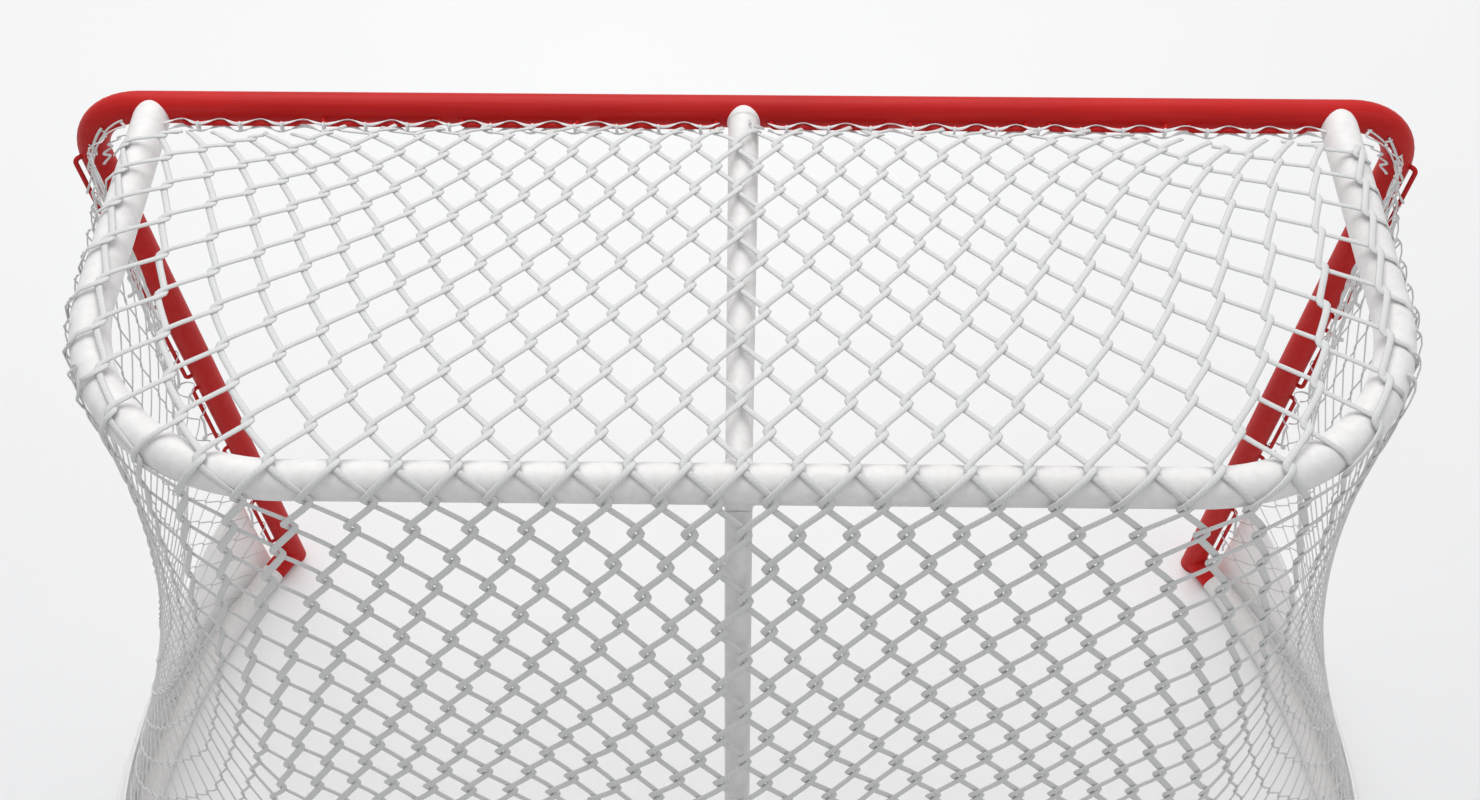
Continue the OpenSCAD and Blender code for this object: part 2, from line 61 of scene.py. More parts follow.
def ease(t):
    # From 0 to 1 as 3 t squared less 2 t cubed
    t = np.clip(t, 0, 1)
    return t * t * (3 - 2 * t)


def makeMesh(name, points, faces, uv=None):
    # Points in millimetres, faces as lists of indices, uv as one pair for each corner of each face
    mesh = bpy.data.meshes.new(name)
    mesh.from_pydata(inFrame(points).tolist(), [], faces)
    if uv is not None:
        layer = mesh.uv_layers.new(name="UVMap")
        layer.data.foreach_set("uv", np.asarray(uv, np.float32).ravel())
    mesh.polygons.foreach_set("use_smooth", np.ones(len(mesh.polygons), bool))
    mesh.update()
    piece = bpy.data.objects.new(name, mesh)
    bpy.context.scene.collection.objects.link(piece)
    return piece


def gridQuads(count, wide, closed=(False, True), flip=False):
    # Faces of a grid of count by wide points; where it is closed its last points join the first
    a, s = np.meshgrid(np.arange(count - (not closed[0])), np.arange(wide - (not closed[1])), indexing="ij")
    a, s = a.ravel(), s.ravel()
    b, n = (a + 1) % count, (s + 1) % wide
    quads = np.stack([a * wide + s, a * wide + n, b * wide + n, b * wide + s], 1)
    return quads[:, [0, 3, 2, 1]] if flip else quads


def lengthTo(path):
    # Length along a path up to each of its points, in metres
    return np.r_[0, np.cumsum(np.linalg.norm(np.diff(path, axis=0), axis=1))] / 1000


def ribbon(path, normal, width, thick, sides=8):
    # An oval section carried along a path: width lies in the surface, thick along its normal.
    # The corner at angle t stands off the path by width/2 cos t across it and thick/2 sin t up.
    ahead = unit(np.gradient(path, axis=0))
    across = unit(np.cross(normal, ahead))
    up = np.cross(ahead, across)
    turn = 2 * np.pi * np.arange(sides) / sides
    width, thick = (np.broadcast_to(s, len(path))[:, None, None] / 2 for s in (width, thick))
    rings = (path[:, None] + width * np.cos(turn)[None, :, None] * across[:, None]
             + thick * np.sin(turn)[None, :, None] * up[:, None])
    quads = gridQuads(len(path), sides)
    a, s = np.divmod(quads[:, 0], sides)
    along = lengthTo(path)
    u0, u1 = s / sides, (s + 1) / sides
    uv = np.stack([np.stack([u0, along[a]], 1), np.stack([u1, along[a]], 1),
                   np.stack([u1, along[a + 1]], 1), np.stack([u0, along[a + 1]], 1)], 1)
    caps = [list(range(sides))[::-1], [(len(path) - 1) * sides + q for q in range(sides)]]
    capUv = np.zeros((2, sides, 2))
    capUv[1, :, 1] = along[-1]
    return rings.reshape(-1, 3), quads, caps, uv.reshape(-1, 2), capUv.reshape(-1, 2)


def joined(parts):
    # Several ribbons as one list of points, faces and uv pairs
    points, faces, uv, start = [], [], [], 0
    for ring, quads, caps, side, ends in parts:
        points.append(ring)
        faces += (quads + start).tolist() + [[q + start for q in cap] for cap in caps]
        uv += [side, ends]
        start += len(ring)
    return np.concatenate(points), faces, np.concatenate(uv)


# The net's edges: at the top from the post in to the arm and round, below along the base tube.
# A place k on them is below 1 along the side, below 2 round the corner and 3 at the centre plane
edge = {
    "stand": 41.5,  # from the post's axis to the net's front edge
    "swingY": 60.0,  # how far back the top edge has swung in to the arm
    "drop": 140.0, "dropEnd": 0.4,  # the top edge starts this far down the post and is level from here on
    "rise": 60.0, "riseFade": 4,  # the bottom edge starts this far up, and falls with this power
    "startAngle": -29.4,  # where the bottom edge starts on the side's arc, in degrees
    "sideLean": -3.0, "rearLean": 20.0, "baseLean": 20.0,  # degrees above level where it leaves a tube
}
footTurn, rodTurn = math.radians(goal["footAngle"]), math.radians(goal["rodTurn"])
footWay = np.array([math.sin(footTurn), math.cos(footTurn)])
rodWay = np.array([math.sin(rodTurn), math.cos(rodTurn)])
post = np.array([goal["postX"], 0.0])
netStart = post + edge["stand"] * rodWay
corner = np.array([goal["cornerX"], goal["topDepth"] - goal["cornerR"]])
sideCentre = post + goal["footLen"] * footWay + goal["sideR"] * np.array([-footWay[1], footWay[0]])
baseCornerR = goal["baseDepth"] - sideCentre[1]
baseCorner = np.array([sideCentre[0] + goal["sideR"] - baseCornerR, sideCentre[1]])


def plan(x, y):
    return np.stack(np.broadcast_arrays(x, y), -1)


def raised(p, z):
    # Places in plan with their height added
    return np.concatenate([p, np.broadcast_to(z, p.shape[:-1])[..., None]], -1)


def arc(centre, radius, angle):
    return plan(centre[0] + radius * np.cos(angle), centre[1] + radius * np.sin(angle))


def choose(k, side, bend, back):
    k = k[..., None] if np.ndim(side) > np.ndim(k) else k
    return np.where(k < 1, side, np.where(k < 2, bend, back))


def railAngle(k):
    # Way that an edge faces: 0 is sideways at the end of the side, a right angle is straight back
    return np.radians(choose(k, edge["startAngle"] * (1 - k), (k - 1) * 90, 90.0))


def outward(k):
    return raised(plan(np.cos(railAngle(k)), np.sin(railAngle(k))), 0.0)


def topRail(k, out):
    # The top frame's outline moved out: from the post it swings in to the arm on a quadratic curve
    t = np.clip(k, 0, 1)[..., None]
    arm = plan(goal["armX"] + out, edge["swingY"])
    bendStart = plan(corner[0] + goal["cornerR"] + out, corner[1])
    side = (1 - t) ** 2 * netStart + 2 * t * (1 - t) * arm + t * t * bendStart
    bend = arc(corner, goal["cornerR"] + out, np.radians(90 * (k - 1)))
    return choose(k, side, bend, plan(corner[0] * (3 - k), goal["topDepth"] + out))


def baseRail(k, out):
    # The base tube's outline moved out: one arc along the side, one round the corner, then straight
    side = arc(sideCentre, goal["sideR"] + out, railAngle(k))
    bend = arc(baseCorner, baseCornerR + out, railAngle(k))
    return choose(k, side, bend, plan(baseCorner[0] * (3 - k), goal["baseDepth"] + out))


# Layout of the net. A column is half a mesh wide and a row half a mesh long: b counts columns from
# the centre plane and j counts rows from the front
net = {
    "lift": 4.6,  # from a tube's face to the net's middle
    "back": 16,  # columns each side in the piece at the back
    "through": 22,  # columns each side that run from the crossbar to the base
    "arm": 30,  # columns each side where the top net ends at the arm
    "side": 54,  # columns from the centre plane to the post
    "overArm": 22.8,  # last column of the top net that hangs down over the tube
    "row": 43.6, "rowLess": 0.43, "rowSteady": 12, "rowStart": 4.0,  # length of each hanging row
    "turnIn": 3.3,  # how soon a falling column takes up its place at the base
    "shift": [-0.2, 0.036, -0.35, 0.27],  # sideways, in columns: at row 0, more for each row, limits
    "baseColumns": [12, 11, 7], "baseSteps": [27.0, 22.0, 30.0],  # columns at the base and their width
}
topNetZ = goal["barZ"] + goal["topR"] + net["lift"]
topOut = goal["topR"] + net["lift"]
baseOut = goal["baseR"] + net["lift"]

# Plan of the top net, in millimetres, as two polynomials fitted to the net's knots
fan = {
    "x": [281.843, 59.997, 46.253, 0.318, -10.016, 0.057, 1.092, -77.113, 15.749],
    "y": [216.978, 409.603, 27.771, 3.961, 18.464, -14.891, 1.481, -9.309, -1.276, 7.686, 0.598],
    "edgeColumns": [16, 18, 22, 25, 28, 30],
    "edgeRows": [-9.0, -5.0, -3.0, -1.7, 0.2, 1.5],  # row where a column starts at the front
    "frontY": 39.0,  # the columns nearer the middle start here, at the lacing rods
}


def fanPlan(a, j):
    # Polynomials in u, tens of columns, and v, tens of rows. x is a sum of
    # u, u v, u v2, u3, u3 v, u5, u5 v, u v3, u3 v2 and y of 1, v, v2, v3, u2 and u4 times 1, v, v2, and u6
    u, v = a / 10, j / 10
    x = [u, u * v, u * v ** 2, u ** 3, u ** 3 * v, u ** 5, u ** 5 * v, u * v ** 3, u ** 3 * v ** 2]
    y = [1 + 0 * u, v, v ** 2, v ** 3, u ** 2, u ** 2 * v, u ** 2 * v ** 2, u ** 4, u ** 4 * v,
         u ** 4 * v ** 2, u ** 6]
    return sum(c * t for c, t in zip(fan["x"], x)), sum(c * t for c, t in zip(fan["y"], y))


def armLine(y):
    # Each arm runs straight from the crossbar to its rear corner
    return goal["armX"] - goal["armToe"] * np.clip(y / corner[1], 0, 1)


def outside(x, y):
    # Distance outside the top frame's centreline, and the rail's place k nearest to the point
    x = np.abs(x)
    bend = np.hypot(x - corner[0], y - corner[1])
    angle = np.degrees(np.arctan2(y - corner[1], x - corner[0]))
    atSide = np.where(y < corner[1], x - armLine(y), bend - goal["cornerR"])
    far = np.where(x < corner[0], y - goal["topDepth"], atSide)
    place = np.where(y < corner[1], np.clip(y / corner[1], 0, 1), 1 + angle / 90)
    return far, np.where(x < corner[0], 3 - x / corner[0], place)


def leanAt(k):
    # Angle above level where the net leaves the top tube, from the side's to the rear's
    return np.radians(edge["sideLean"] + (edge["rearLean"] - edge["sideLean"]) * np.clip(k - 1, 0, 2) / 2)


def railDrop(k):
    return edge["drop"] * (1 - ease(k / edge["dropEnd"]))


def baseRise(k):
    return edge["rise"] * np.clip(1 - k, 0, 1) ** edge["riseFade"]


def onTop(k, lean):
    # A point of the net on the top tube, lean radians above level
    z = goal["barZ"] + topOut * np.sin(lean) - railDrop(k)
    return raised(topRail(k, topOut * np.cos(lean)), z)


def onBase(k, lean):
    # A point of the net on the base tube, lean radians above level
    z = goal["baseR"] + baseOut * np.sin(lean) + baseRise(k)
    return raised(baseRail(k, baseOut * np.cos(lean)), z)


def netTop(k):
    return onTop(k, leanAt(k))


def netBase(k):
    return onBase(k, math.radians(edge["baseLean"]))


bow = {
    "sideSag": 95.0, "sideEarly": 0.7, "sideStart": 0.78, "sideReach": 1.45,
    "backSag": 6.0,
    "postOut": 48.0, "postWide": 290.0, "postPower": 1.6,
    "panelSag": 40.0, "panelAt": 2.63, "panelWide": 0.25,
}


def netBow(k, v):
    # Bowed outwards as 4 v (1 - v): sides sag in, soonest below the arm, the back falls in between
    # its corner and the post, and bears on the bowed post
    tent = np.exp(-(corner[0] * (3 - np.minimum(k, 3)) / bow["postWide"]) ** bow["postPower"])
    panel = bow["panelSag"] * np.exp(-((k - bow["panelAt"]) / bow["panelWide"]) ** 2)
    started = ease(k / bow["sideStart"])
    side = (bow["sideSag"] - bow["backSag"]) * started * (1 - ease((k - 1) / bow["sideReach"]))
    side = side * (1 + bow["sideEarly"] * (1 - 2 * v))
    deep = (bow["postOut"] + bow["backSag"] + panel) * tent - side - panel - bow["backSag"] * started
    return 4 * v * (1 - v) * deep


def hangingNet(k, v):
    # Straight from the top frame at v = 0 to the base tube at v = 1, and bowed
    v = np.asarray(v, float)
    return netTop(k) + (netBase(k) - netTop(k)) * v[..., None] + netBow(k, v)[..., None] * outward(k)


def lengths(rail):
    # Length of a rail from each place k on to the centre plane
    k = np.linspace(0, 3, 1201)
    step = np.linalg.norm(np.diff(rail(k), axis=0), axis=1)
    total = np.r_[0, np.cumsum(step)]
    return k, total[-1] - total


def leaveTop(b):
    # The row and the place k where each column of the top net leaves the top frame, by halving
    low, high = np.full_like(b, 4.0), np.full_like(b, 12.0)
    for turn in range(40):
        middle = (low + high) / 2
        far, place = outside(*fanPlan(b, middle))
        done = far > topOut * (math.pi / 2 - leanAt(place))
        low, high = np.where(done, low, middle), np.where(done, middle, high)
    row = (low + high) / 2
    return row, outside(*fanPlan(b, row))[1]


columns = np.linspace(0, net["overArm"], 229)
leaveRow, leavePlace = leaveTop(columns)
kGrid, topLeft = lengths(netTop)
baseLeft = lengths(netBase)[1]
armLeft = np.interp(leavePlace[-1], kGrid, topLeft)
baseMarks = np.r_[0, np.cumsum(net["baseColumns"]), net["side"]]
baseEnds = np.r_[0, np.cumsum(np.multiply(net["baseColumns"], net["baseSteps"])), baseLeft[0]]


def columnPlaces(b):
    # Rail places at the top and at the base, the row at the top, and the hanging length of column b
    b = np.abs(b)
    past = np.clip((b - net["overArm"]) / (net["side"] - net["overArm"]), 0, 1)
    left = armLeft + (topLeft[0] - armLeft) * past
    overTube, alongEdge = np.interp(b, columns, leavePlace), np.interp(-left, -topLeft, kGrid)
    kTop = np.where(b <= net["overArm"], overTube, alongEdge)
    kBase = np.interp(-np.interp(b, baseMarks, baseEnds), -baseLeft, kGrid)
    row = np.interp(b, columns, leaveRow)
    tall = np.linalg.norm(netTop(kTop) - netBase(kBase), axis=-1)
    return kTop, kBase, row, tall


def fallen(n):
    # Length of net below the rail after n rows: each is shorter than the last until they are steady
    steady = np.clip(n - net["rowSteady"], 0, None)
    return n * net["row"] - net["rowLess"] * (n * n - steady ** 2) - net["rowStart"] * np.clip(n, 0, 1)


flat = {
    "sag": 7.0, "sagWide": 800.0, "sagFrom": 30.0, "sagLong": 560.0,
    "dip": 22.5, "dipEnd": 85.0, "dipLong": 46.0,  # the front edge dips; level again here, over this length
    "dipMiddle": 400.0, "dipHalf": 395.0, "dipFade": 22.0,
}


def flatNet(x, y):
    # Sags as half a sine wave from the centre tube to the arm times half a one from front to back;
    # the front edge dips to the lacing rods between the centre tube and the arm
    sagWide = np.sin(np.pi * np.clip(x / flat["sagWide"], 0, 1))
    sagLong = np.sin(np.pi * np.clip((y - flat["sagFrom"]) / flat["sagLong"], 0, 1))
    dipLong = ease((flat["dipEnd"] - y) / flat["dipLong"])
    dipWide = ease((flat["dipHalf"] - np.abs(x - flat["dipMiddle"])) / flat["dipFade"])
    z = topNetZ - flat["sag"] * sagWide * sagLong - flat["dip"] * dipLong * dipWide
    return raised(plan(x, y), z)


def roundTop(y, far, k):
    # Past the tube's highest line the net goes round it, far millimetres along its circle
    turn = np.clip(far, 0, None) / topOut
    onArm = plan(armLine(y) + topOut * np.sin(turn), y)
    p = np.where((k < 1)[..., None], onArm, topRail(np.maximum(k, 0.0), topOut * np.sin(turn)))
    return raised(p, goal["barZ"] + topOut * np.cos(turn))


def hungNet(b, j):
    # From the top tube to the base tube and round under it; above the start, wires that begin on the arm
    kTop, kBase, row, tall = columnPlaces(b)
    v = fallen(j - row) / tall
    down = np.clip(v, 0, 1)
    p = hangingNet(kTop + (kBase - kTop) * (1 - (1 - down) ** net["turnIn"]), down)
    above = leanAt(kTop) + np.clip(-v * tall, 0, None) / topOut
    below = math.radians(edge["baseLean"]) - np.clip((v - 1) * tall, 0, None) / baseOut
    p = np.where((v < 0)[..., None], onTop(kTop, above), p)
    return np.where((v > 1)[..., None], onBase(kBase, below), p), j > row


def netPoint(b, j, topOnly=False):
    # The whole net as one surface of b and j
    b = b - np.clip(net["shift"][0] + net["shift"][1] * j, *net["shift"][2:])
    sign = np.where(b < 0, -1.0, 1.0)
    b = np.abs(b)
    x, y = fanPlan(b, j)
    far, k = outside(x, y)
    p = np.where((far > 0)[..., None], roundTop(y, far, k), flatNet(x, y))
    if not topOnly:
        hung, below = hungNet(b, j)
        p = np.where((below | (b > net["overArm"]))[..., None], hung, p)
    p[..., 0] *= sign
    return p


def topPoint(b, j):
    return netPoint(b, j, True)


# A net wire, in millimetres. What is named level works where the net lies flat on top
wire = {
    "cord": 5.6, "broad": 11.0,  # width of a strand that runs across the goal, and of one that runs down
    "thick": 3.6, "thickFor": 8.0, "thickLeast": 0.55,  # thinner, down to this share, if less wide
    "bend": 0.96,  # q of the zigzag: nearer 1 is sharper
    "hook": 3.1, "levelHook": 0.42,  # how far a bend reaches past its place, and the share less if level
    "stepLeast": 9.0,  # columns closer than this reach no further
    "swing": 2.4, "levelSwing": 0.3,  # how far a strand stands behind or in front, and the share less
    "cross": 2.2,  # how sharply it goes from behind to in front
    "levelWidth": [0.42, -0.8, 0.2],  # change of width if level: a polynomial in the square of x across
    "pinch": 0.12, "levelPinch": 0.2, "pinchPower": 6,  # narrower at a bend, and broader there if level
    "sideSlim": 0.42, "slimOver": 4,  # share of the width at the sides, reached over this many columns
}


def spread(direction):
    # The net is stretched sideways, so a cord's width in a direction is cord times the root of
    # 1 + (broad/cord squared - 1) x squared
    return np.sqrt(1 + ((wire["broad"] / wire["cord"]) ** 2 - 1) * direction[..., 0] ** 2)


def netWire(surface, m, rows, slim=1.0):
    # One zigzag wire between columns m and m + 1: across it follows asin(q sin t), a triangle wave
    # with rounded bends, and it swings behind the net on one leg and in front on the other
    t = np.pi * (rows + m + 0.5)
    wave = np.arcsin(wire["bend"] * np.sin(t)) / math.asin(wire["bend"])
    middle = np.full_like(rows, m + 0.5)
    step = (surface(middle + 0.3, rows) - surface(middle - 0.3, rows)) / 0.6
    stepLong = np.maximum(np.linalg.norm(step, axis=-1), wire["stepLeast"])
    stretch = slim * spread(unit(step))
    facing = unit(np.cross(step, surface(middle, rows + 0.2) - surface(middle, rows - 0.2)))
    level = np.abs(facing[:, 2]) ** 4
    b = middle + wave * (0.5 + wire["hook"] * stretch * (1 - wire["levelHook"] * level) / stepLong)
    p = surface(b, rows)
    ahead = surface(b, rows + 0.05) - surface(b, rows - 0.05)
    aside = surface(b + 0.1, rows) - surface(b - 0.1, rows)
    normal = unit(np.cross(ahead, aside))
    side = np.tanh(wire["cross"] * np.cos(t)) / math.tanh(wire["cross"])
    swing = wire["swing"] * (1 - wire["levelSwing"] * level) * np.sqrt(stretch / 2) * side
    p = p - swing[..., None] * normal
    across = unit(np.cross(normal, np.gradient(p, axis=0)))
    change = level * np.polyval(wire["levelWidth"], across[:, 0] ** 2)
    pinch = (wire["pinch"] - wire["levelPinch"] * level) * np.abs(np.sin(t)) ** wire["pinchPower"]
    width = wire["cord"] * slim * spread(across) * (1 + change) * (1 - pinch)
    return p, normal, width, wire["thick"] * np.clip(width / wire["thickFor"], wire["thickLeast"], 1)


stepShares = np.array([0, 0.06, 0.16, 0.36, 0.64, 0.84, 0.94])


def rowsBetween(first, last):
    # The points of a wire: seven to a row, closer together at its bends
    whole = np.arange(math.floor(first) - 1, math.ceil(last) + 1)
    rows = (whole[:, None] + stepShares[None, :]).ravel()
    return rows[(rows >= first) & (rows <= last)]


# Where wires start and end, in rows, and in millimetres for the base and the arm
ends = {
    "front": -7, "armLast": 9,
    "overSide": 0.75, "belowSide": -0.05, "nearPost": 0.45,  # over the arm, but not near the post
    "underBase": 18.0, "pastArm": 40.0,
    "least": 4,  # a wire with fewer points is left out
}


def sideStart(kTop, row):
    return row - (ends["overSide"] if kTop > ends["nearPost"] else ends["belowSide"])


def wireParts(wires, kind):
    # Wires of kind through run from the crossbar to the base, side from the arm to the base,
    # and arm from the crossbar to the arm
    parts = []
    steadyRow = net["row"] - 2 * net["rowLess"] * net["rowSteady"]
    for m in wires:
        b = abs(m + 0.5)
        kTop, _, row, tall = (float(s) for s in columnPlaces(np.array(b)))
        lastRow = row + net["rowSteady"] + (tall + ends["underBase"] - fallen(net["rowSteady"])) / steadyRow
        rows = rowsBetween(sideStart(kTop, row) if kind == "side" else ends["front"],
                           ends["armLast"] if kind == "arm" else lastRow)
        slim = 1.0
        if kind == "side":
            slim -= (1 - wire["sideSlim"]) * min((b - net["through"]) / wire["slimOver"], 1)
        p, normal, width, thick = netWire(topPoint if kind == "arm" else netPoint, m, rows, slim)
        first, last = 0, len(rows)
        if kind != "side":
            before = (p[:, 1] < fan["frontY"]) | (rows < np.interp(b, fan["edgeColumns"], fan["edgeRows"]))
            first = np.flatnonzero(before)[-1] + 1 if before.any() else 0
        if kind == "arm":
            x, y = fanPlan(np.full_like(rows, b), rows)
            past = np.flatnonzero(outside(x, y)[0][first:] > ends["pastArm"])
            last = first + past[0] if len(past) else last
        if last - first >= ends["least"]:
            cut = slice(first, last)
            parts.append(ribbon(p[cut], normal[cut], width[cut], thick[cut]))
    return parts


# The net's front corners are gathered up to the bend of the goal mouth
gather = {
    "columns": 5, "rows": 4, "slim": 0.5,
    "fromTurn": 88, "toTurn": 30, "standOff": 25.0,  # degrees round the bend, and behind its axis
    "fromPlace": 0.36, "toPlace": 0.03,  # places k on the side net's top edge
}


def bendPoint(turn, inwards, back):
    # On the bend of the goal mouth: turn radians up from sideways, inwards from its axis and behind it
    radius = goal["bendR"] - inwards
    return np.stack([goal["postX"] - goal["bendR"] + radius * np.cos(turn), back + 0 * turn,
                     goal["barZ"] - goal["bendR"] + radius * np.sin(turn)], -1)


def gatherParts(sign):
    # Straight from the bend at row 0 to the side net's top edge at the last row
    def surface(b, j):
        u = np.clip(b / gather["columns"], -0.1, 1.1)
        w = np.clip(j / gather["rows"], -0.02, 1.05)[..., None]
        turn = np.radians(gather["fromTurn"] + (gather["toTurn"] - gather["fromTurn"]) * u)
        bend = bendPoint(turn, 0.0, gather["standOff"])
        rail = netTop(gather["fromPlace"] + (gather["toPlace"] - gather["fromPlace"]) * u)
        return (bend + (rail - bend) * w) * [sign, 1, 1]

    rows = rowsBetween(0, gather["rows"])
    return [ribbon(*netWire(surface, m, rows, gather["slim"])) for m in range(gather["columns"])]


def makeNet(name, replaced, parts):
    piece = makeMesh(name, *joined(parts))
    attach(piece, "root")
    if replaced:
        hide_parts(*replaced)
    return piece


print("net")
back, through, side, arm = net["back"], net["through"], net["side"], net["arm"]
netPieces = [
    makeNet("net_back", ["rear_net", "top_net"], wireParts(range(-back, back), "through")),
    makeNet("net_right_side", ["right_side_net"],
            wireParts(range(back, through), "through") + wireParts(range(through, side), "side")),
    makeNet("net_left_side", ["left_side_net"],
            wireParts(range(-through, -back), "through") + wireParts(range(-side, -through), "side")),
    makeNet("net_arm_ends", [],
            wireParts(range(through, arm), "arm") + wireParts(range(-arm, -through), "arm")),
    makeNet("net_front_corners", [], gatherParts(1) + gatherParts(-1)),
]

# Lacing along the crossbar: flat cord in two runs, one over and one under the rods, tied at knots
lace = {
    "width": 4.6, "thick": 1.5,
    "first": 34.0, "last": 800.0, "pitch": 57.6,
    "uneven": 0.25, "unevenLong": 60.0,
    "aroundBack": 5.0,  # the cord's faces turn about a line this far behind the rods' axis
    "overKnot": [42.0, 8.5], "overCrest": [28.5, 5.2],  # behind the bar's axis, and above it
    "underKnot": [46.0, -1.5], "underCrest": [31.0, -4.6],
    "tieAt": [42.0, 3.5], "tieLong": 2.5, "tieDeep": 6.0, "tieTall": 7.0, "tieSlim": 0.8, "tieSpare": 10.0,
}


def smoothLine(points, per):
    # Catmull-Rom curve: each stretch is a cubic through four neighbouring points
    points = np.asarray(points, float)
    padded = np.concatenate([[2 * points[0] - points[1]], points, [2 * points[-1] - points[-2]]])
    a, b, c, d = (q[:, None] for q in (padded[:-3], padded[1:-2], padded[2:-1], padded[3:]))
    t = (np.arange(per) / per)[None, :, None]
    curve = 0.5 * (2 * b + (c - a) * t + (2 * a - 5 * b + 4 * c - d) * t ** 2
                   + (3 * b - a - 3 * c + d) * t ** 3)
    return np.concatenate([curve.reshape(-1, 3), points[-1:]])


def roundRod(path, middle):
    # A flat cord's faces look towards and away from the rod that it goes round
    ahead = unit(np.gradient(path, axis=0))
    away = path - middle
    away = away - (away * ahead).sum(1, keepdims=True) * ahead
    return unit(away)


def laceRibbon(path, middle, sign=1, slim=1.0):
    mirror = [sign, 1, 1]
    normal = roundRod(path, middle)
    return ribbon(path * mirror, normal * mirror, lace["width"] * slim, lace["thick"])


def garland(sign, knot, crest):
    # From knot to knot past the rod: distance back and height go from knot to crest as sin squared
    x = np.linspace(lace["first"], lace["last"], 160)
    phase = np.pi * x / lace["pitch"] + lace["uneven"] * np.sin(x / lace["unevenLong"])
    knot, crest = np.array(knot), np.array(crest)
    back, up = (knot + (crest - knot) * np.sin(phase)[:, None] ** 2).T
    path = np.stack([sign * x, back, goal["barZ"] + up], 1)
    rod = [0, goal["rodStand"] + lace["aroundBack"], goal["barZ"]]
    return laceRibbon(path, path * [1, 0, 0] + rod)


def barTies(sign):
    # Small loops that hold the two garlands and the net's edge together at each knot
    turn = np.linspace(0, 2 * np.pi, 15)
    back, up = lace["tieAt"]
    loops = []
    for x in np.arange(lace["pitch"], lace["last"] - lace["tieSpare"], lace["pitch"]):
        middle = np.array([sign * x, back, goal["barZ"] + up])
        path = middle + np.stack([sign * lace["tieLong"] * np.sin(turn / 2), lace["tieDeep"] * np.cos(turn),
                                  lace["tieTall"] * np.sin(turn)], 1)
        loops.append(laceRibbon(path, middle, slim=lace["tieSlim"]))
    return loops


bendLace = {
    "start": 98.0, "sweep": 88.0, "dips": 5,  # degrees round the bend, and dips on the way
    "inwards": 21.0, "dipInwards": 7.0,
    "back": 22.0, "knotBack": 8.0,
    "lead": 42.0, "leadPart": 0.1,  # straight run along the bar before the bend
}


def bendCord(sign):
    # From the crossbar round the bend to the post: it dips in from the tube between its knots
    t = np.linspace(0, 1, 90)
    turn = np.radians(bendLace["start"] - bendLace["sweep"] * t)
    dip = np.sin(np.pi * bendLace["dips"] * t) ** 2
    lead = bendLace["lead"] * np.clip(1 - t / bendLace["leadPart"], 0, None)[:, None] * [1, 0, 0]
    path = bendPoint(turn, bendLace["inwards"] + bendLace["dipInwards"] * dip,
                     bendLace["back"] + bendLace["knotBack"] * (1 - dip)) - lead
    return laceRibbon(path, bendPoint(turn, 0.0, 0.0) - lead, sign)


def barLacing(sign):
    return [bendCord(sign), garland(sign, lace["overKnot"], lace["overCrest"]),
            garland(sign, lace["underKnot"], lace["underCrest"]), *barTies(sign)]


# Lacing down a post. Each point of a stitch has its share of the way down to the next stitch,
# its distance from the post's axis along the rods' plane, and its distance out of that plane
postLace = {
    "ties": 13, "top": 1108.0, "bottom": 110.0,
    "uneven": 0.1, "unevenStep": 3.3,
    "aroundOut": 40.0,  # the cord's faces turn about a line this far out
    "stitch": [[0, 50, 5], [0.06, 55, 0], [0.12, 49, -6], [0.2, 34, -7.5], [0.27, 25.6, 0],
               [0.34, 33, 7], [0.44, 42, 6.5], [0.62, 41, 6], [0.84, 44, 6]],
    "leaveOut": 3,  # points of the first stitch that the cord starts without
}


def postLacing(sign):
    # Each stitch takes in the net's edge and the rod, and runs on down to the next
    out, side = raised(rodWay, 0.0), np.array([-rodWay[1], rodWay[0], 0])
    stitch = np.array(postLace["stitch"])
    ties = np.arange(postLace["ties"])
    pitch = (postLace["top"] - postLace["bottom"]) / postLace["ties"]
    uneven = postLace["uneven"] * np.sin(ties * postLace["unevenStep"])
    z = postLace["top"] - pitch * (ties[:, None] + stitch[None, :, 0] + uneven[:, None])
    path = raised(post, 0.0) + stitch[None, :, 1, None] * out + stitch[None, :, 2, None] * side
    path = path + z[..., None] * np.array([0, 0, 1])
    path = smoothLine(path.reshape(-1, 3)[postLace["leaveOut"]:], 5)
    middle = raised(post, 0.0) + postLace["aroundOut"] * out + path * [0, 0, 1]
    return [laceRibbon(path, middle, sign)]


def makeLace(name, replaced, parts):
    piece = makeMesh(name, *joined(parts))
    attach(piece, "root")
    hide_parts(replaced)
    return piece


print("lacing")
lacePieces = [
    makeLace("lace_crossbar", "crossbar_lacing", barLacing(1) + barLacing(-1)),
    makeLace("lace_right_post", "right_post_lacing", postLacing(1)),
    makeLace("lace_left_post", "left_post_lacing", postLacing(-1)),
]

skirtSizes = {
    "height": 254.0, "hemOut": 70.0, "hemLift": 1.5, "thick": 1.6,
    "stand": 8.0,  # the top edge stands off the net's middle
    "bell": 6.0,
    "footShare": 0.55,  # share of the hem's distance out that is left at the foot
    "ripple": 2.2, "rippleTurns": 23.0, "uneven": 1.3, "unevenTurns": 7.0,
    "around": [60, 75, 40], "down": 20,
    "topBinding": [0.0, 0.09], "hemBinding": [0.9, 1.0],  # from and to, as shares of the way down
    "bindingThick": 1.4, "bindingOut": 1.5, "bindingDown": 4,
}


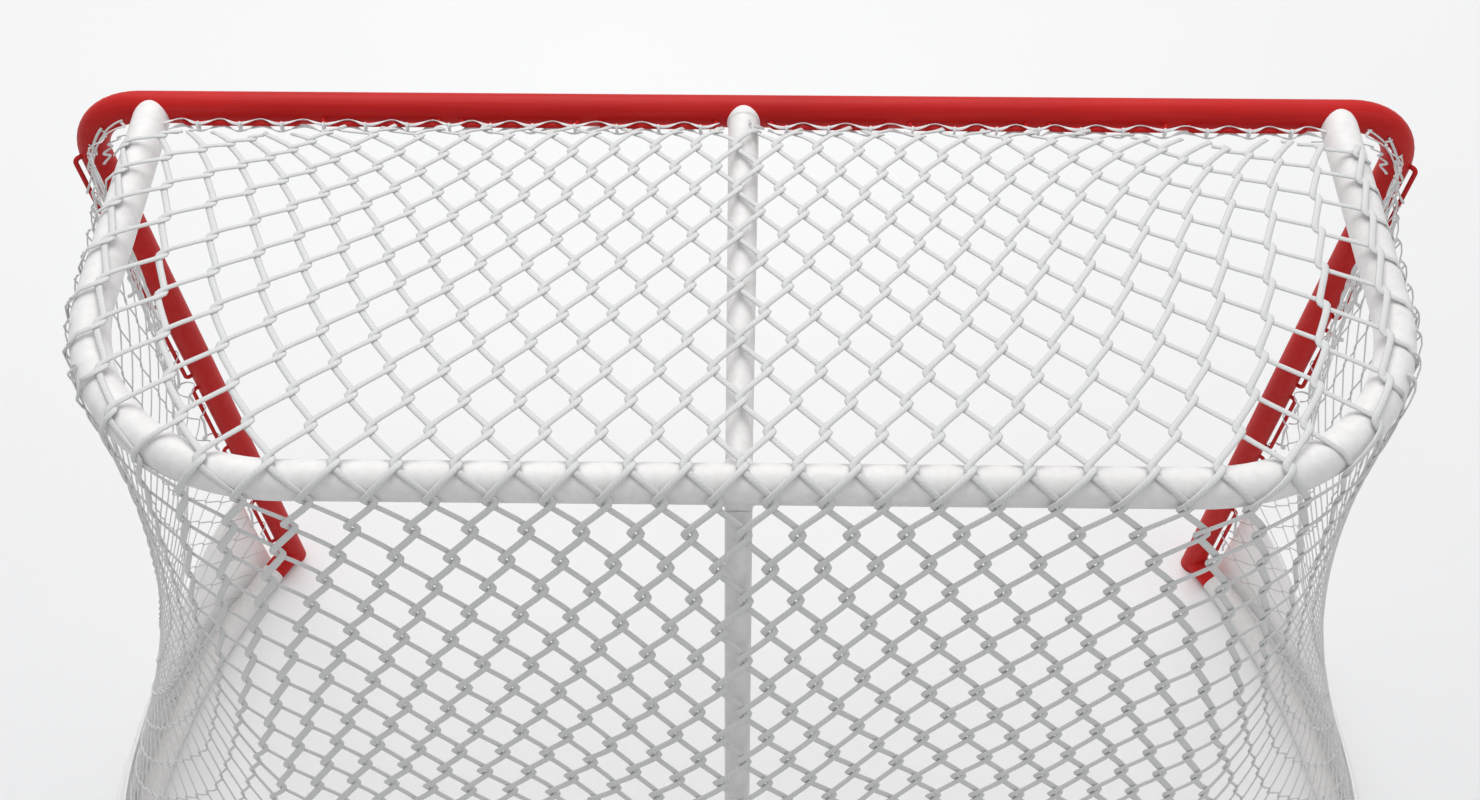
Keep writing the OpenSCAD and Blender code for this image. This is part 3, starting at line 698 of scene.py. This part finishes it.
def skirtFace(k, w, extra=0.0):
    # From the net's face at the top edge to the hem, bellied out as 4 w (1 - w) and rippled by a
    # sine that grows with w. The place k goes on past the centre plane, to 6 at the other post
    turn = k * skirtSizes["rippleTurns"] + skirtSizes["uneven"] * np.sin(k * skirtSizes["unevenTurns"])
    bulge = 4 * w * (1 - w) * skirtSizes["bell"] + skirtSizes["ripple"] * np.sin(turn) * w + extra
    sign = np.where(k > 3, -1.0, 1.0)
    k = np.where(k > 3, 6 - k, k)
    highZ, lowZ = netTop(k)[..., 2], netBase(k)[..., 2]
    top = hangingNet(k, (highZ - skirtSizes["height"]) / (highZ - lowZ)) + skirtSizes["stand"] * outward(k)
    share = np.where(k < 1, skirtSizes["footShare"] + (1 - skirtSizes["footShare"]) * ease(k), 1.0)
    low = raised(baseRail(k, skirtSizes["hemOut"] * share), skirtSizes["hemLift"])
    p = top + (low - top) * w[..., None] + bulge[..., None] * outward(k)
    p[..., 0] *= sign
    return p


def makeShell(name, face, kValues, wValues, thick):
    # A grid of k by w given its wall by Solidify, with uv in metres round and down
    k, w = np.meshgrid(kValues, wValues, indexing="ij")
    p = face(k, w)
    roundTo, downTo = np.meshgrid(lengthTo(p[:, 0]), lengthTo(p[len(p) // 2]), indexing="ij")
    pairs = np.stack([roundTo, downTo], -1).reshape(-1, 2)
    quads = gridQuads(len(kValues), len(wValues), (False, False))
    piece = makeMesh(name, p.reshape(-1, 3), quads.tolist(), pairs[quads.ravel()])
    wall = piece.modifiers.new("wall", "SOLIDIFY")
    wall.thickness = thick / 1000
    wall.offset = 0
    return piece


def makeBinding(name, fromTo):
    # A strip of the skirt's own face between two shares of the way down, a little outside it
    def face(k, w):
        return skirtFace(k, fromTo[0] + (fromTo[1] - fromTo[0]) * w, skirtSizes["bindingOut"])

    piece = makeShell(name, face, around, np.linspace(0, 1, skirtSizes["bindingDown"]),
                      skirtSizes["bindingThick"])
    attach(piece, "root")
    return piece


print("skirt")
alongSide, roundCorner, acrossBack = skirtSizes["around"]
around = np.concatenate([np.linspace(0, 1, alongSide, endpoint=False),
                         np.linspace(1, 2, roundCorner, endpoint=False), np.linspace(2, 3, acrossBack)])
around = np.concatenate([around, 6 - around[-2::-1]])
skirt = makeShell("skirt_fabric", skirtFace, around, np.linspace(0, 1, skirtSizes["down"]),
                  skirtSizes["thick"])
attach(skirt, "root")
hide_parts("skirt")
topBand = makeBinding("skirt_top_binding", skirtSizes["topBinding"])
hemBand = makeBinding("skirt_hem_binding", skirtSizes["hemBinding"])

tubes = {
    "sides": 72,
    "shoulder": 30.0, "dome": 40.0,  # where a domed end starts, and its length down to the axis
    "armStart": 3.0, "centreStart": 4.0, "centreClose": 44.0,  # behind the crossbar's axis
    "centreEnd": 12.0,  # short of the rear bar's axis
    "frontR": 21.4, "rearR": 15.5,  # the centre tube tapers
    "collarR": 23.4, "collarEnd": 24.0, "collarFade": 5.0,
}


def domed(y, radius):
    # The end that laps the crossbar is half an ellipsoid: radius times the root of 1 - (in / dome) squared
    inside = np.clip((tubes["shoulder"] - y) / tubes["dome"], 0, 1)
    return radius * np.sqrt(1 - inside ** 2)


def makeTube(name, replaced, path, radius):
    up = np.broadcast_to([0.0, 0.0, 1.0], path.shape)
    piece = makeMesh(name, *joined([ribbon(path, up, 2 * radius, 2 * radius, tubes["sides"])]))
    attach(piece, "root")
    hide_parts(replaced)
    return piece


def topTubePath():
    # Up one arm, round both rear corners and back down the other
    arm = np.r_[np.linspace(tubes["armStart"], tubes["shoulder"], 16),
                np.linspace(tubes["shoulder"], corner[1], 12)[1:]]
    turn = np.radians(np.linspace(0, 90, 33))[1:]
    half = np.concatenate([plan(armLine(arm), arm), arc(corner, goal["cornerR"], turn),
                           plan(np.linspace(corner[0], 0, 12)[1:], goal["topDepth"])])
    return raised(np.concatenate([half, half[-2::-1] * [-1, 1]]), goal["barZ"])


def centreTube():
    # A tapered tube with a rounded collar where it is welded to the crossbar
    y = np.r_[np.linspace(tubes["centreStart"], tubes["centreClose"], 60),
              np.linspace(tubes["centreClose"], goal["topDepth"] - tubes["centreEnd"], 24)[1:]]
    taper = tubes["frontR"] + (tubes["rearR"] - tubes["frontR"]) * y / goal["topDepth"]
    faded = ease((y - tubes["collarEnd"]) / tubes["collarFade"])
    collar = (tubes["collarR"] - tubes["frontR"]) * (1 - faded)
    return raised(plan(0.0, y), goal["barZ"]), domed(y, taper + collar)


print("tubes")
topPath = topTubePath()
topTube = makeTube("top_tube", "top_frame", topPath, domed(topPath[:, 1], goal["topR"]))
centrePath, centreRadius = centreTube()
centre = makeTube("centre_tube", "centre_top_tube", centrePath, centreRadius)

welds = {
    "sides": 48, "steps": 6,
    "rearReach": 9.0, "footReach": 5.0,  # how far a fillet reaches along each of its tubes
    "centreR": 15.6,  # the centre tube where it meets the rear bar
    "widest": 0.995,  # the fillet stays inside this share of the main tube's radius
    "sinkIn": 1.2, "sinkDown": 0.6,  # its hidden edge lies this far inside the tubes
}


def filletRing(origin, branch, main, rBranch, rMain, reach):
    # A concave fillet where a branch tube meets a main tube. For each angle round the branch the
    # section is a quadratic arc from the branch's wall to the main tube's, drawn towards their meeting line
    branch, main = unit(np.array(branch, float)), unit(np.array(main, float))
    main = unit(main - main.dot(branch) * branch)
    third = np.cross(branch, main)
    turn = 2 * np.pi * np.arange(welds["sides"]) / welds["sides"]
    radial = np.cos(turn)[:, None] * main + np.sin(turn)[:, None] * third

    def onMain(r):
        tall = np.sqrt(np.maximum(rMain ** 2 - (r * np.sin(turn)) ** 2, 0.0))
        return np.array(origin, float) + radial * r + tall[:, None] * branch

    meet = onMain(rBranch)
    start = meet + reach * branch
    end = onMain(min(rBranch + reach, rMain * welds["widest"]))
    t = np.linspace(0, 1, welds["steps"])[None, :, None]
    bezier = (1 - t) ** 2 * start[:, None] + 2 * t * (1 - t) * meet[:, None] + t * t * end[:, None]
    inner = (meet - welds["sinkIn"] * radial - welds["sinkDown"] * branch)[:, None]
    section = np.concatenate([bezier, inner], 1)
    return section.reshape(-1, 3), gridQuads(*section.shape[:2], (True, True), True)


def makeFillets(name, rings):
    points, faces, start = [], [], 0
    for ring, quads in rings:
        points.append(ring)
        faces += (quads + start).tolist()
        start += len(ring)
    piece = makeMesh(name, np.concatenate(points), faces)
    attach(piece, "root")
    return piece


def rearPostWays():
    # The rear post is an arc of a circle: the way it sets off down from the rear bar, and up from the base
    back, up = goal["baseDepth"] - goal["topDepth"], goal["baseR"] - goal["barZ"]
    chord = math.hypot(back, up)
    arcR = ((chord / 2) ** 2 + goal["rearBow"] ** 2) / (2 * goal["rearBow"])
    half, lean = math.asin(chord / 2 / arcR), math.atan2(back, -up)
    return ([0, math.sin(lean + half), -math.cos(lean + half)],
            [0, -math.sin(lean - half), math.cos(lean - half)])


print("fillets")
rearBar, foot = [0, goal["topDepth"], goal["barZ"]], [0, goal["baseDepth"], goal["baseR"]]
postDown, postUp = rearPostWays()
whiteRings = [
    filletRing(rearBar, [0, -1, 0], [1, 0, 0], welds["centreR"], goal["topR"], welds["rearReach"]),
    filletRing(rearBar, postDown, [1, 0, 0], goal["rearPostR"], goal["topR"], welds["rearReach"]),
    filletRing(foot, postUp, [1, 0, 0], goal["rearPostR"], goal["baseR"], welds["footReach"]),
]
whiteFillets = makeFillets("weld_fillets_white", whiteRings)


class Sock:
    # A shader socket whose sums and products add Math nodes
    def __init__(self, tree, socket):
        self.tree, self.socket = tree, socket

    def math(self, operation, *values):
        return self.tree.node("ShaderNodeMath", {"operation": operation}, dict(enumerate(values)))

    def __add__(self, other):
        return self.math("ADD", self, other)

    def __radd__(self, other):
        return self.math("ADD", other, self)

    def __rsub__(self, other):
        return self.math("SUBTRACT", other, self)

    def __mul__(self, other):
        return self.math("MULTIPLY", self, other)

    def sine(self):
        return self.math("SINE", self)

    def limited(self):
        return self.tree.node("ShaderNodeClamp", {}, {0: self})

    def between(self, low, high):
        # 0 up to low, 1 from high on, and straight between them
        return self.tree.node("ShaderNodeMapRange", {"clamp": True},
                              {0: self, 1: low, 2: high, 3: 0.0, 4: 1.0})


class Finish:
    # A material with one Principled shader; node() adds any other node
    def __init__(self, name):
        self.material = bpy.data.materials.new(name)
        self.material.use_nodes = True
        self.nodes, self.links = self.material.node_tree.nodes, self.material.node_tree.links
        self.shader = self.nodes["Principled BSDF"]

    def node(self, kind, settings=None, values=None, out=0):
        made = self.nodes.new(kind)
        for key, value in (settings or {}).items():
            setattr(made, key, value)
        for key, value in (values or {}).items():
            self.feed(made.inputs[key], value)
        return Sock(self, made.outputs[out])

    def feed(self, socket, value):
        if isinstance(value, Sock):
            self.links.new(value.socket, socket)
        else:
            socket.default_value = value

    def set(self, **values):
        for key, value in values.items():
            self.feed(self.shader.inputs[key.replace("_", " ")], value)

    def place(self, kind="Object"):
        return self.node("ShaderNodeTexCoord", out=kind)

    def uvPair(self):
        # Round the cord or the goal, and along the cord or down the cloth
        outputs = self.node("ShaderNodeSeparateXYZ", {}, {0: self.place("UV")}).socket.node.outputs
        return Sock(self, outputs[0]), Sock(self, outputs[1])

    def stretched(self, scale):
        return self.node("ShaderNodeMapping", {}, {"Vector": self.place(), "Scale": scale})

    def noise(self, scale, detail=3.0, where=None):
        return self.node("ShaderNodeTexNoise", {},
                         {"Vector": where or self.place(), "Scale": scale, "Detail": detail})

    def blend(self, share, first, second):
        # In a colour mix the two colours are inputs 6 and 7, and the result is output 2
        return self.node("ShaderNodeMix", {"data_type": "RGBA"}, {0: share, 6: first, 7: second}, 2)

    def bump(self, height, strength, distance):
        self.set(Normal=self.node("ShaderNodeBump", {},
                                  {"Strength": strength, "Distance": distance, "Height": height}))


def rgb(r, g, b):
    return (r, g, b, 1.0)


# Sprayed paints; drawn is the scale of the fine streaks, stretched along the tubes' main way
paints = {
    "red_paint": {
        "main": rgb(0.52, 0.0105, 0.0095), "dull": rgb(0.44, 0.008, 0.008), "worn": rgb(0.57, 0.035, 0.033),
        "rough": 0.46, "shine": 0.16, "drawn": (6.0, 260.0, 60.0),
    },
    "white_paint": {
        "main": rgb(0.82, 0.805, 0.795), "dull": rgb(0.77, 0.755, 0.745), "worn": rgb(0.62, 0.605, 0.59),
        "rough": 0.42, "shine": 0.3, "drawn": (90.0, 90.0, 90.0),
    },
}
peel = 330.0  # waves of the sprayed coat in a metre


def paintFinish(name):
    # Slow drift of tone, fine streaks along the tube, short scuffs, chips and an orange-peel surface
    look, paint = Finish(name), paints[name]
    streaks = look.noise(1.0, 4.0, look.stretched(paint["drawn"])).between(0.4, 0.75)
    drift = look.noise(3.5, 2.0).between(0.35, 0.7)
    scuffs = look.noise(26.0, 6.0, look.stretched((0.35, 1.0, 1.0))).between(0.66, 0.74)
    chips = look.noise(140.0, 4.0).between(0.72, 0.76)
    tone = look.blend(drift, paint["main"], paint["dull"])
    wear = (scuffs * 0.2 + chips * 0.3 + streaks * 0.35).limited()
    look.set(Base_Color=look.blend(wear, tone, paint["worn"]), Specular_IOR_Level=paint["shine"],
             Roughness=paint["rough"] + scuffs * 0.14 + look.noise(60.0) * 0.06)
    look.bump(look.noise(peel, 2.0) + scuffs * -0.5, 0.22, 0.0006)
    return look.material


def steelFinish(name):
    # Drawn grain along the socket, with rust in patches
    look = Finish(name)
    grain = look.noise(420.0, 3.0, look.stretched((1.0, 1.0, 0.06)))
    rust = look.noise(40.0, 5.0).between(0.58, 0.72)
    look.set(Base_Color=look.blend(rust, rgb(0.42, 0.42, 0.43), rgb(0.20, 0.12, 0.08)),
             Metallic=1 - rust * 0.7, Roughness=0.34 + rust * 0.3 + grain * 0.1)
    look.bump(grain, 0.3, 0.0004)
    return look.material


# The second colour of each is what the painted shade in the ply grooves, the fuzz and the soil darken
# towards
cords = {
    "net_cord": {"main": rgb(0.675, 0.675, 0.67), "shadeAndSoil": rgb(0.56, 0.56, 0.555)},
    "lace_cord": {"main": rgb(0.74, 0.74, 0.745), "shadeAndSoil": rgb(0.56, 0.56, 0.57)},
}
twist = {"plies": 3.0, "perMetre": 150.0, "strands": 19.0, "strandsPerMetre": 600.0}


def cordFinish(name):
    # Twisted nylon: plies wind round the cord, fine filaments run along them
    look = Finish(name)
    roundTo, along = look.uvPair()
    plies = ((roundTo * twist["plies"] + along * twist["perMetre"]) * (2 * math.pi)).sine() * 0.5 + 0.5
    strands = (roundTo * twist["strands"] + along * twist["strandsPerMetre"]) * (2 * math.pi)
    strands = strands.sine() * 0.5 + 0.5
    wool = look.noise(900.0, 4.0)
    soil = look.noise(5.0, 4.0).between(0.5, 0.75)
    # Painted shade: the grooves between the plies are darkened, besides the fuzz and the soil
    share = ((1 - plies) * 0.28 + wool * 0.25 + soil * 0.22).limited()
    look.set(Base_Color=look.blend(share, cords[name]["main"], cords[name]["shadeAndSoil"]),
             Roughness=0.5 + wool * 0.18, Sheen_Weight=0.15, Sheen_Roughness=0.5)
    look.bump(plies * 0.8 + strands * 0.25 + wool * 0.15, 0.2, 0.0005)
    return look.material


# The second colour of each is what the weave, the painted shade of folds and the soil darken towards
cloths = {
    "skirt_cloth": {"main": rgb(0.80, 0.795, 0.79), "shadeAndSoil": rgb(0.68, 0.675, 0.67)},
    "binding_cloth": {"main": rgb(0.76, 0.755, 0.75), "shadeAndSoil": rgb(0.62, 0.615, 0.61)},
}
threads = 900.0  # in a metre
clothGlow = 0.18  # painted light: strength at which the cloth glows in its own colour, lifting its shaded faces


def clothFinish(name):
    # Plain weave: threads over and under in a checkered product of two sines
    look, cloth = Finish(name), cloths[name]
    roundTo, down = look.uvPair()
    weave = (roundTo * (threads * math.pi)).sine() * (down * (threads * math.pi)).sine() * 0.5 + 0.5
    # Painted shade: a slow noise darkens the cloth in patches, as folds would shade it
    paintedFoldShade = look.noise(9.0, 3.0).between(0.4, 0.7)
    soil = look.noise(30.0, 5.0).between(0.6, 0.8)
    share = (weave * 0.2 + paintedFoldShade * 0.12 + soil * 0.2).limited()
    # Painted light: the cloth also glows faintly in its main colour, so its shaded faces come out lighter
    look.set(Base_Color=look.blend(share, cloth["main"], cloth["shadeAndSoil"]), Roughness=0.72 + weave * 0.1,
             Sheen_Weight=0.2, Emission_Color=cloth["main"], Emission_Strength=clothGlow)
    look.bump(weave * 0.6 + look.noise(18.0, 3.0) * 0.25, 0.2, 0.0006)
    return look.material


print("materials")
redPaint = paintFinish("red_paint")
whitePaint = paintFinish("white_paint")
socketSteel = steelFinish("socket_steel")
netCord = cordFinish("net_cord")
laceCord = cordFinish("lace_cord")
skirtCloth = clothFinish("skirt_cloth")
bindingCloth = clothFinish("binding_cloth")

finishes = {
    "front_frame": redPaint, "left_foot_stub": redPaint, "right_foot_stub": redPaint,
    "crossbar_lacing_rods": redPaint, "left_post_lacing_rods": redPaint, "right_post_lacing_rods": redPaint,
    "left_peg_socket": socketSteel, "right_peg_socket": socketSteel,
    "rear_centre_post": whitePaint, "base_frame": whitePaint,
}


def wear(piece, material):
    piece.data.materials.clear()
    piece.data.materials.append(material)


for name, material in finishes.items():
    wear(nodes[name], material)
    polygons = nodes[name].data.polygons
    polygons.foreach_set("material_index", np.zeros(len(polygons), np.int32))
for piece in netPieces:
    wear(piece, netCord)
for piece in lacePieces:
    wear(piece, laceCord)
wear(skirt, skirtCloth)
wear(topBand, bindingCloth)
wear(hemBand, bindingCloth)
for piece in (whiteFillets, topTube, centre):
    wear(piece, whitePaint)

# The studio, in metres
stageSizes = {
    "floorR": 14.0, "floorZ": -0.0005, "rings": 8, "spokes": 64,
    "floorColour": rgb(0.845, 0.845, 0.848), "floorCloud": rgb(0.815, 0.815, 0.818),
    "paper": rgb(0.925, 0.925, 0.928),
    "lift": 0.12, "fade": (1.6, 4.2),  # share of the paper's tone near the goal, and where it fills up
    "sky": rgb(0.97, 0.985, 1.0), "skyStrength": 0.6,
    "sensor": 36.0, "lens": 34.89,
    "eye": (-0.0111, 0.9251, 2.6123), "ahead": (0.00643, -0.5926, -0.8054),
}


def makeFloor():
    # A disc of two parameters, radius and angle, just under the ice line
    rings, spokes = stageSizes["rings"], stageSizes["spokes"]
    r, t = np.meshgrid(np.linspace(0.0, stageSizes["floorR"], rings),
                       2 * np.pi * np.arange(spokes) / spokes, indexing="ij")
    p = raised(plan(r * np.cos(t), r * np.sin(t)), stageSizes["floorZ"]).reshape(-1, 3) * 1000
    p[:, 1] += goal["originY"]
    piece = makeMesh("floor", p, gridQuads(rings, spokes, flip=True).tolist())
    wear(piece, floorFinish("floor_ice"))


def floorFinish(name):
    # Seen from the camera the floor is mixed with the paper's tone, wholly so far from the goal
    look = Finish(name)
    tone = look.blend(look.noise(1.5, 3.0), stageSizes["floorColour"], stageSizes["floorCloud"])
    look.set(Base_Color=tone, Roughness=0.6)
    look.bump(look.noise(260.0, 2.0), 0.05, 0.0005)
    paper = look.node("ShaderNodeEmission", {}, {"Color": stageSizes["paper"], "Strength": 1.0})
    seen = look.node("ShaderNodeLightPath", out="Is Camera Ray")
    glossy = look.node("ShaderNodeLightPath", out="Is Glossy Ray")
    far = look.node("ShaderNodeVectorMath", {"operation": "LENGTH"}, {0: look.place()}, "Value")
    fade = far.between(*stageSizes["fade"])
    share = (seen + glossy).limited() * (stageSizes["lift"] + fade * (1 - stageSizes["lift"]))
    mixed = look.node("ShaderNodeMixShader", {}, {0: share, 1: Sock(look, look.shader.outputs[0]), 2: paper})
    look.links.new(mixed.socket, look.nodes["Material Output"].inputs["Surface"])
    return look.material


def makeWorld():
    # An even sky for light, and the paper's tone where the camera looks past the goal
    world = bpy.data.worlds.new("studio")
    bpy.context.scene.world = world
    world.use_nodes = True
    tree = world.node_tree
    sky = tree.nodes["Background"]
    sky.inputs["Color"].default_value = stageSizes["sky"]
    sky.inputs["Strength"].default_value = stageSizes["skyStrength"]
    seen = tree.nodes.new("ShaderNodeBackground")
    seen.inputs["Color"].default_value = stageSizes["paper"]
    path = tree.nodes.new("ShaderNodeLightPath")
    mix = tree.nodes.new("ShaderNodeMixShader")
    tree.links.new(path.outputs["Is Camera Ray"], mix.inputs[0])
    tree.links.new(sky.outputs[0], mix.inputs[1])
    tree.links.new(seen.outputs[0], mix.inputs[2])
    tree.links.new(mix.outputs[0], tree.nodes["World Output"].inputs["Surface"])


lights = {
    "key": {"place": (0.5, -3.4, 5.4), "target": (0, 0.1, 0.5), "size": 5.0, "power": 235},
    "fill": {"place": (-3.5, 2.4, 4.2), "target": (0, 0, 0.5), "size": 3.5, "power": 18},
}


def makeLight(name):
    light = lights[name]
    lamp = bpy.data.lights.new(name, "AREA")
    lamp.shape = "SQUARE"
    lamp.size, lamp.energy = light["size"], light["power"]
    made = bpy.data.objects.new(name, lamp)
    made.location = light["place"]
    ahead = Vector(light["target"]) - Vector(light["place"])
    made.rotation_euler = ahead.to_track_quat("-Z", "Y").to_euler()
    bpy.context.scene.collection.objects.link(made)


def makeCamera():
    data = bpy.data.cameras.new("camera")
    data.sensor_width, data.lens = stageSizes["sensor"], stageSizes["lens"]
    made = bpy.data.objects.new("camera", data)
    ahead = Vector(stageSizes["ahead"]).normalized()
    right = ahead.cross(Vector((0, 0, 1))).normalized()
    up = right.cross(ahead)
    turn = Matrix((right, up, -ahead)).transposed().to_4x4()
    made.matrix_world = Matrix.Translation(stageSizes["eye"]) @ turn
    bpy.context.scene.collection.objects.link(made)
    bpy.context.scene.camera = made


print("stage")
makeFloor()
makeWorld()
makeLight("key")
makeLight("fill")
makeCamera()
bpy.context.scene.view_settings.view_transform = "Standard"
